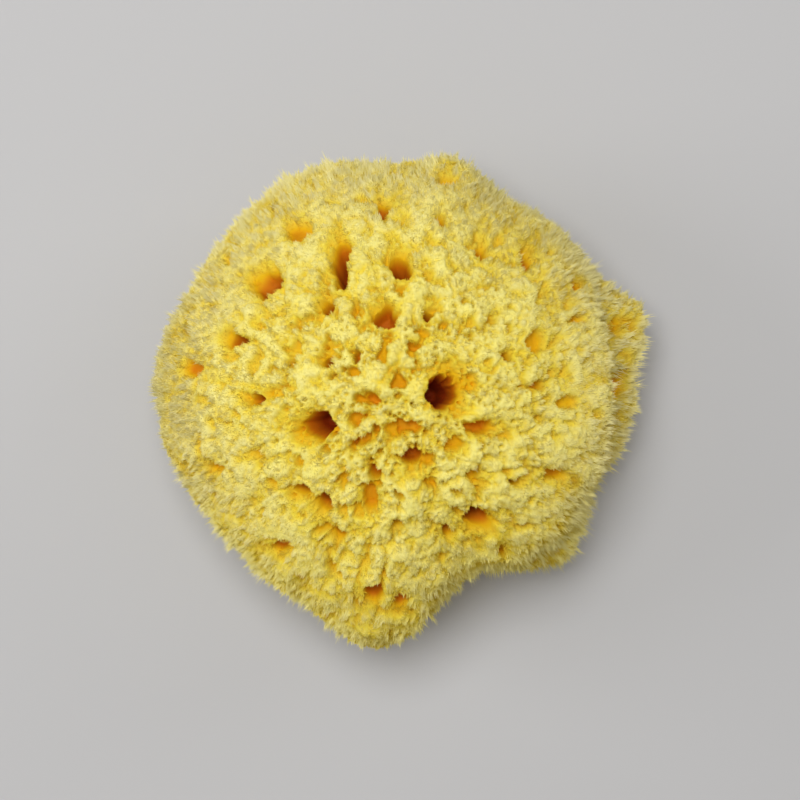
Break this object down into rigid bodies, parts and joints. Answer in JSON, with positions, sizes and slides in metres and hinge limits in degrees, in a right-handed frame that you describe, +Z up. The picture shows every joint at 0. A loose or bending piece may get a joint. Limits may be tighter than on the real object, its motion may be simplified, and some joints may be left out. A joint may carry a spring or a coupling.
{
  "type": "sea sponge",
  "caption": "Natural bath sponge: a pale yellow, fibrous, lobed dome pierced by round channel mouths, cut off flat at its base.",
  "frame": {"origin": "middle of the box, at the level of the flat cut", "axes": "+Z up out of the flat cut; +X is the right of the picture and +Y its top, as seen from above"},
  "size_m": [0.1512, 0.1508, 0.0963],
  "materials": {
    "sponge_fibre": "dull, dry, soft horny fibre"
  },
  "bodies": {
    "root": {"sponge": "sponge_fibre"}
  },
  "joints": []
}
